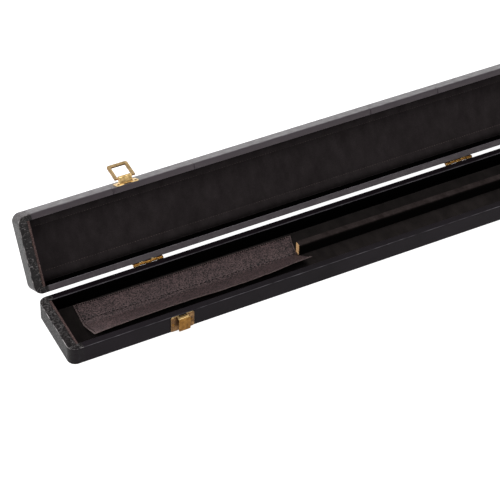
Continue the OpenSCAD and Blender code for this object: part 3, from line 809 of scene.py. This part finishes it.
def end_board_piece(half, right):
    """The lined board inside an end, with a slightly torn top edge."""
    node = f"{half.name}_{'right' if right else 'left'}_board"
    side = 1 if right else -1
    y = np.linspace(-half.in_y, half.in_y, 110)
    top = half.height - 0.75 * MM
    x_near, x_far = half.in_x, half.block_x
    section = [(x_far, half.floor), (x_far, top - 0.3 * MM), (x_far - 0.35 * MM, top)]
    section += between(section[-1], (x_near + 0.55 * MM, top), 4)
    section += [(x_near + 0.12 * MM, top - 0.25 * MM), (x_near, top - 0.8 * MM), (x_near, half.floor)]
    section = np.array(section)
    outer = grid_points(side * section[:, 0], y[:, None], section[:, 1])
    torn = fbm(outer, 2.6 * MM, 51 + side)
    near_top = section[:, 1] > top - 1.2 * MM
    outer[..., 2] += near_top * 0.16 * MM * torn
    outer[..., 0] += near_top * side * np.where(section[:, 0] < x_far - 0.5 * MM, 0.14 * MM * torn, 0)
    middle = side * (x_near + x_far) / 2
    core = 0.1
    inner = outer.copy()
    inner[..., 0] = middle + (outer[..., 0] - middle) * core
    inner[..., 2] = half.floor + (outer[..., 2] - half.floor) * core
    if right:
        outer, inner = outer[::-1], inner[::-1]
    piece = sheet_solid(node + "_edge", outer[::-1], inner[::-1], half.matrix, sharp_deg=50)
    dress(piece, "end_board", half.body, [node])


for half in (base_half, lid_half):
    end_board_piece(half, right=False)
    end_board_piece(half, right=True)


# ---------------------------------------------------------------- divider

def divider_velvet():
    """Velvet folded over the wooden strip, open at the strip's bare end."""
    low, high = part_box("divider_cover")
    r = 1.9 * MM
    section = [(low.y, low.z)] + between((low.y, low.z), (low.y, high.z - r), 6)
    section += arc((low.y + r, high.z - r), r, 180, 90, 5)[1:]
    section += between(section[-1], (high.y - r, high.z), 3)
    section += arc((high.y - r, high.z - r), r, 90, 0, 5)[1:]
    section += between(section[-1], (high.y, low.z), 6)
    section = np.array(section)
    middle = (low.y + high.y) / 2
    x = np.concatenate([[low.x, low.x + 0.8 * MM], np.linspace(low.x + 3 * MM, high.x, 330)])
    outer = grid_points(x[:, None], section[:, 0], section[:, 1])
    sag = np.abs(fbm(outer, 26 * MM, 61)) * 0.30 * MM
    upper = smoothstep((section[:, 1] - low.z) / (6 * MM))
    outer[..., 1] += np.sign(middle - outer[..., 1]) * np.minimum(sag, 0.35 * MM) * upper
    outer[..., 2] -= sag * upper
    inner = outer.copy()
    from_middle = outer[..., 1] - middle
    core = np.clip(np.abs(from_middle) - 0.55 * MM, 0, (high.y - low.y) / 2 - LINING_T)
    inner[..., 1] = middle + np.sign(from_middle) * core
    inner[..., 2] = np.minimum(outer[..., 2], high.z - LINING_T)
    # Painted light: the divider's top is left pale as if lit, and its sides are painted near-black
    # shade.
    wear_and_highlight = smoothstep((section[:, 1] - high.z + 2.6 * MM) / (2.2 * MM)) * np.ones(len(x))[:, None]
    piece = sheet_solid("divider_velvet", outer, inner, wear=wear_and_highlight)
    dress(piece, "divider_velvet", "base", ["divider_cover"])


divider_velvet()


# ---------------------------------------------------------------- flap

FLAP_T = 1.1 * MM
FLAP_CUT = (279 * MM, 65 * MM)
SEW_IN = 2.2 * MM


class Flap:
    """One sheet: a runs from its left to its right edge, b from its rear to its free one, 0 to 1."""

    low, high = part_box("flap_back")
    crease_b = (high.y - low.y) / FLAP_CUT[1]
    free_d = FLAP_CUT[1] - (high.y - low.y)

    # Along the sheet from its left edge: how steeply the free part rises from the bend
    slope_at = (0, 0.10, 0.30, 0.43, 0.51, 0.59, 0.70, 0.80, 0.90, 1)
    slope_deg = (19, 22.3, 23.8, 24.3, 22.8, 21.3, 22, 23.8, 28, 30.3)

    @classmethod
    def surface(cls, a, b):
        """Places of the sheet's top at a and b, which broadcast together."""
        a, b = np.broadcast_arrays(a, b)
        glued = np.clip(b / cls.crease_b, 0, 1)
        free = np.clip((b - cls.crease_b) / (1 - cls.crease_b), 0, 1)
        skew = (1 - glued) ** 1.3
        left = cls.low.x + 2.2 * MM * skew + 2.0 * MM * free
        right = cls.high.x + 8.0 * MM * skew + 6.0 * MM * free ** 1.3
        x = left + a * (right - left)
        drawn_in = 0.9 + 1.8 * smoothstep(a / 0.12) + 0.7 * smoothstep((a - 0.8) / 0.2)
        rear_y = cls.high.y - MM * drawn_in
        y = rear_y + (cls.low.y - rear_y) * glued
        slope = np.radians(np.interp(a, cls.slope_at, cls.slope_deg))
        rise = np.zeros_like(y)
        steps = 24
        for k in range(steps):
            along = free * (k + 0.5) / steps
            lean = slope * smoothstep(along / 0.22) ** 0.8 + 0.06 * along
            y = y - free * cls.free_d / steps * np.cos(lean)
            rise = rise + free * cls.free_d / steps * np.sin(lean)
        rise = rise + 0.30 * MM * free * np.sin(a * 31 + 1.0) * np.sin(a * 13)
        cockle = 0.30 * MM * np.sin(a * 23) * np.sin(glued * math.pi) * (free == 0)
        z = cls.low.z + FLAP_T + 0.10 * MM + rise + np.abs(cockle)
        return np.stack([x, y, z], -1)

    @classmethod
    def seam_b(cls, a):
        """Where the sewn crease runs, a little askew to the bend."""
        return cls.crease_b - 0.10 + 0.11 * a


def flap_sheet():
    """The sewn flap, glued down behind its crease and free in front of it."""
    grid_a, grid_b = np.meshgrid(np.linspace(0, 1, 276), np.linspace(0, 1, 67), indexing="ij")
    outer = Flap.surface(grid_a, grid_b)
    du = np.gradient(outer, axis=0)
    dv = np.gradient(outer, axis=1)
    normals = np.cross(dv, du)
    normals /= np.linalg.norm(normals, axis=-1, keepdims=True)
    to_side = np.minimum(grid_a, 1 - grid_a) * FLAP_CUT[0]
    to_rear = grid_b * FLAP_CUT[1]
    to_seam = np.abs(grid_b - Flap.seam_b(grid_a)) * FLAP_CUT[1]
    sewn = np.minimum(np.minimum(np.abs(to_side - SEW_IN), np.abs(to_rear - SEW_IN)), to_seam)
    groove = 0.32 * MM * np.exp(-(sewn / (0.9 * MM)) ** 2)
    pebble = 0.07 * MM * fbm(outer, 1.9 * MM, 71)
    to_free = (1 - grid_b) * FLAP_CUT[1]
    to_edge = np.minimum(np.minimum(to_side, to_rear), to_free)
    at_edge = 1 - smoothstep(to_edge / (0.9 * MM))
    top = outer + normals * (pebble - groove - 0.40 * MM * at_edge)[..., None]
    bottom = outer - normals * (FLAP_T - 0.25 * MM * at_edge)[..., None]
    bottom[..., 2] = np.maximum(bottom[..., 2], Flap.low.z + 0.03 * MM)
    # The flap's edges are paler, partly from wear and partly as a painted highlight.
    wear_and_highlight = 0.7 * (1 - smoothstep(to_edge / (1.5 * MM))) * (0.6 + 0.6 * fbm(outer, 5 * MM, 72))
    piece = sheet_solid("flap_sheet", top, bottom, wear=wear_and_highlight, sharp_deg=60)
    return dress(piece, "flap_leatherette", stands_for=["flap_back", "flap_front"])


def stitch_row(path, ups, pitch, length, radius):
    """Vertices and faces of sewn stitches along a path of points, lying across its up vectors."""
    steps = np.linalg.norm(np.diff(path, axis=0), axis=1)
    at = np.concatenate([[0], np.cumsum(steps)])

    def along(s, values):
        return np.array([np.interp(s, at, values[:, i]) for i in range(3)])

    vertices, faces = [], []
    sides = 6
    ahead_by = 0.1 * MM

    # Along one stitch: how far along it, and how high its middle lies in radii
    shape = [(0.0, -0.7), (0.22, 0.35), (0.5, 0.62), (0.78, 0.35), (1.0, -0.7)]
    for k in range(int(at[-1] / pitch)):
        begin = (k + 0.5) * pitch - length / 2
        first = len(vertices)
        for t, lift in shape:
            s = begin + t * length
            centre = along(s, path)
            ahead = along(s + ahead_by, path) - centre
            up = along(s, ups)
            if np.linalg.norm(ahead) < 1e-9:
                ahead = path[-1] - path[-2]
            ahead /= np.linalg.norm(ahead)
            up -= ahead * (up @ ahead)
            up /= np.linalg.norm(up)
            across = np.cross(ahead, up)
            wide = radius * (1.0 if 0 < t < 1 else 0.55)
            for i in range(sides):
                angle = 2 * math.pi * i / sides
                high = lift * radius + wide * math.sin(angle)
                vertices.append(centre + up * high + across * wide * math.cos(angle))
        for ring in range(len(shape) - 1):
            for i in range(sides):
                a = first + ring * sides + i
                b = first + ring * sides + (i + 1) % sides
                faces.append((a, b, b + sides, a + sides))
        faces.append(tuple(first + i for i in range(sides))[::-1])
        last = first + (len(shape) - 1) * sides
        faces.append(tuple(last + i for i in range(sides)))
    return vertices, faces


def rows_of_stitches(name, rows, look, matrix=None):
    """One piece from several (path, ups, pitch, length, radius) rows."""
    vertices, faces = [], []
    for row in rows:
        more, quads = stitch_row(*row)
        faces += [tuple(i + len(vertices) for i in quad) for quad in quads]
        vertices += more
    piece = make_mesh(name, vertices, faces, matrix, sharp_deg=60)
    return dress(piece, look)


def flap_line(a, b):
    """A path on the flap with its up vectors, sunk into the sewn groove."""
    a, b = np.broadcast_arrays(np.asarray(a, float), np.asarray(b, float))
    points = Flap.surface(a, b)
    nudge = 0.001
    du = Flap.surface(np.clip(a + nudge, 0, 1), b) - Flap.surface(np.clip(a - nudge, 0, 1), b)
    dv = Flap.surface(a, np.clip(b + nudge, 0, 1)) - Flap.surface(a, np.clip(b - nudge, 0, 1))
    ups = np.cross(dv, du)
    ups /= np.linalg.norm(ups, axis=-1, keepdims=True)
    return points - ups * 0.10 * MM, ups


def flap_stitches():
    """Rows along the rear, both sides and the crease."""
    inset_a, inset_b = SEW_IN / FLAP_CUT[0], SEW_IN / FLAP_CUT[1]
    length = np.linspace(inset_a, 1 - inset_a, 300)
    depth = np.linspace(inset_b, 1 - inset_b, 80)
    fine = (2.8 * MM, 1.7 * MM, 0.62 * MM)
    thin = (2.8 * MM, 1.7 * MM, 0.36 * MM)
    coarse = (5.0 * MM, 3.0 * MM, 0.36 * MM)
    rows = [
        (*flap_line(length, inset_b), *fine),
        (*flap_line(inset_a, depth), *thin),
        (*flap_line(1 - inset_a, depth), *thin),
        (*flap_line(length, Flap.seam_b(length)), *coarse),
    ]
    return rows_of_stitches("flap_stitches", rows, "flap_thread")


flap = flap_sheet()
seams = flap_stitches()
for piece in (flap, seams):
    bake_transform(piece)


def lid_stitches():
    """Rows that sew the padded strips down, beside each long wall of the lid."""
    x = np.linspace(-lid_half.in_x + 9 * MM, lid_half.in_x - 9 * MM, 500)
    rows = []
    for side in (-1, 1):
        y = side * (lid_half.in_y - LID_PAD_W)
        path = np.stack([x, np.full_like(x, y), np.full_like(x, lid_half.floor - 0.55 * MM)], -1)
        ups = np.tile((0.0, 0.0, 1.0), (len(x), 1))
        rows.append((path, ups, 3.4 * MM, 2.2 * MM, 0.32 * MM))
    piece = rows_of_stitches("lid_stitches", rows, "lid_thread", lid_half.matrix)
    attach(piece, "lid")


lid_stitches()


# ---------------------------------------------------------------- brass

# Painted highlight: up-facing ledges of the base's latch parts are painted pale.
LEDGE_HIGHLIGHT = 0.35
LEDGE_RISE = 0.6
EDGE_WEAR_AND_HIGHLIGHT = 0.95


def softened(node, look, width, body):
    """A copy of a CAD node with its sharp edges rounded, which stands for the node."""
    tool = bmesh.new()
    tool.from_mesh(frame["nodes"][node].data)
    bmesh.ops.remove_doubles(tool, verts=tool.verts, dist=2e-6)
    bmesh.ops.dissolve_limit(tool, angle_limit=math.radians(1.0), verts=tool.verts, edges=tool.edges)
    least = math.radians(34)
    sharp = [e for e in tool.edges if len(e.link_faces) == 2 and e.calc_face_angle(0) > least]
    rounded = bmesh.ops.bevel(tool, geom=sharp, offset=width, segments=2, profile=0.7,
                              affect="EDGES", clamp_overlap=True)
    bmesh.ops.recalc_face_normals(tool, faces=tool.faces)
    wear_and_highlight = tool.loops.layers.float.new("wear")
    ledges = "latch" in node and "lid" not in node
    for face in tool.faces:
        face_wear = LEDGE_HIGHLIGHT if ledges and face.normal.z > LEDGE_RISE else 0.0
        for loop in face.loops:
            loop[wear_and_highlight] = face_wear
    # Bevelled edges are painted pale, partly as wear and partly as a painted highlight.
    for face in rounded["faces"]:
        for loop in face.loops:
            loop[wear_and_highlight] = EDGE_WEAR_AND_HIGHLIGHT
    mesh = bpy.data.meshes.new(node + "_finish")
    tool.to_mesh(mesh)
    tool.free()
    mesh.shade_smooth()
    mesh.set_sharp_from_angle(angle=math.radians(40))
    dress(show(node + "_finish", mesh), look, body, [node])


BRASS_WORDS = ("hinge_", "latch_", "bracket", "link", "pins")
BRASS_LOOKS = (
    ("bail", "bail_brass"),
    ("lid_plate", "bright_brass"),
    ("left_plate", "plate_brass"),
    ("right_plate", "plate_brass"),
    ("", "antique_brass"),
)
EDGE_WIDTHS = (("lever", 0.45 * MM), ("latch", 0.30 * MM), ("", 0.18 * MM))


def first_match(node, table):
    """The value beside the first word of a table that is in a node's name."""
    return next(value for word, value in table if word in node)


for node, thing in frame["nodes"].items():
    if "screws" in node:
        softened(node, "antique_brass", 0.10 * MM, thing["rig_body"])
    elif any(word in node for word in BRASS_WORDS):
        look, width = first_match(node, BRASS_LOOKS), first_match(node, EDGE_WIDTHS)
        softened(node, look, width, thing["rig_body"])


# ---------------------------------------------------------------- timber

for node, thing in frame["nodes"].items():
    if node.endswith(("panel", "rail", "block", "core")):
        thing.data.materials.clear()
        thing.data.materials.append(LOOKS["timber"])


# ---------------------------------------------------------------- handle

GRIP_R = 6.4 * MM
GRIP_END_R = 5.2 * MM
PINCH = 0.10


def handle_grip():
    """A padded leatherette grip with turned ends, sewn along its inner side."""
    axis = Vector(joints["handle_swing"]["pos_m"])
    low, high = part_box("handle_grip")
    half_l = high.x - 6.5 * MM
    drop = math.atan2(axis.z - (low.z + high.z) / 2 + 1.3 * MM, axis.y - low.y - 6.5 * MM)
    turn, reach = 8 * MM, 32 * MM
    bend = [(-half_l, reach - turn)]
    bend += [(-half_l + turn - turn * math.cos(t), reach - turn + turn * math.sin(t))
             for t in np.radians(np.arange(9, 90, 9))]
    straight = np.linspace(-half_l + turn, half_l - turn, 60)
    path = bend + [(x, reach) for x in straight] + [(-x, y) for x, y in bend[::-1]]
    path = np.array(path)
    tangents = np.gradient(path, axis=0)
    tangents /= np.linalg.norm(tangents, axis=1, keepdims=True)
    at = np.concatenate([[0], np.cumsum(np.linalg.norm(np.diff(path, axis=0), axis=1))])
    to_end = np.minimum(at, at[-1] - at)
    radius = GRIP_END_R + (GRIP_R - GRIP_END_R) * smoothstep(to_end / (26 * MM))
    sides = 28
    angles = np.linspace(0, 2 * math.pi, sides, endpoint=False)
    vertices = []
    for (x, y), (tx, ty), r in zip(path, tangents, radius):
        for angle in angles:
            pinch = 1 - PINCH * math.exp(-((angle - math.pi) / 0.16) ** 2)
            inward = math.cos(angle) * r * pinch
            vertices.append((x - ty * inward, y + tx * inward, math.sin(angle) * r * 0.96))
    vertices = np.array(vertices)
    vertices += 0.06 * MM * fbm(vertices, 3 * MM, 81)[:, None] * np.array([0, 0.6, 0.8])
    faces = []
    rings = len(path)
    for i in range(rings - 1):
        for j in range(sides):
            a, b = i * sides + j, i * sides + (j + 1) % sides
            faces.append((a, b, b + sides, a + sides))
    faces.append(tuple(range(sides))[::-1])
    faces.append(tuple((rings - 1) * sides + j for j in range(sides)))
    flip = Matrix.Diagonal((1, -1, 1, 1))
    place = Matrix.Translation((0, axis.y, axis.z)) @ Matrix.Rotation(drop, 4, "X") @ flip
    grip = make_mesh("handle_grip_cover", vertices, faces, place, sharp_deg=60)
    dress(grip, "base_end_leatherette", "handle", ["handle_grip"])
    inner_y = reach - GRIP_R * (1 - PINCH) - 0.05 * MM
    row = np.array([(x, inner_y, 0) for x in straight[2:-2]])
    ups = np.tile((0.0, -1.0, 0.0), (len(row), 1))
    sewn = rows_of_stitches("handle_stitches", [(row, ups, 3.6 * MM, 2.6 * MM, 0.28 * MM)],
                            "black_thread", place)
    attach(sewn, "handle")


handle_grip()


# ---------------------------------------------------------------- stage and light

def make_floor():
    """A pale floor that glows a little, so that shadows on it stay light."""
    size, below = 14.0, 0.3 * MM
    corners = ((-1, -1), (1, -1), (1, 1), (-1, 1))
    mesh = bpy.data.meshes.new("floor")
    mesh.from_pydata([(x * size, y * size, -below) for x, y in corners], [], [(0, 1, 2, 3)])
    floor = show("floor", mesh)
    s = Shader("floor", Roughness=0.9, Emission_Strength=0.86, Specular_IOR_Level=0.0)
    s.surface.inputs["Base Color"].default_value = (0.45, 0.45, 0.45, 1)
    s.surface.inputs["Emission Color"].default_value = (1, 1, 1, 1)
    floor.data.materials.append(s.material)


AIM = Vector((-0.35, 0.03, 0.04))


def soft_box(name, direction, distance, width, height, power):
    """An area light that faces the case's left half from a direction."""
    data = bpy.data.lights.new(name, "AREA")
    data.shape = "RECTANGLE"
    data.size, data.size_y = width, height
    data.energy = power
    light = show(name, data)
    away = Vector(direction).normalized()
    light.location = AIM + away * distance
    light.rotation_euler = away.to_track_quat("Z", "Y").to_euler()


def make_light():
    """A dim white room and six soft boxes: name, direction, distance, width, height, watts."""
    world = bpy.data.worlds.new("studio")
    world.use_nodes = True
    background = world.node_tree.nodes["Background"]
    background.inputs["Color"].default_value = (1, 1, 1, 1)
    background.inputs["Strength"].default_value = 0.24
    bpy.context.scene.world = world
    soft_box("key", (0.10, -0.16, 0.98), 2.6, 1.8, 1.0, 32)
    soft_box("front_low", (0.35, -0.93, 0.13), 3.0, 2.8, 0.8, 22)
    soft_box("left", (-0.90, -0.15, 0.42), 2.6, 1.4, 1.0, 26)
    soft_box("left_back", (-0.66, 0.65, 0.35), 2.4, 1.0, 0.8, 44)
    soft_box("back_top", (0.35, 0.65, 0.67), 3.0, 2.0, 1.0, 7)
    soft_box("back_low", (0.35, 0.93, 0.10), 3.2, 3.2, 0.8, 12)


make_floor()
make_light()
bpy.context.scene.view_settings.view_transform = "Standard"
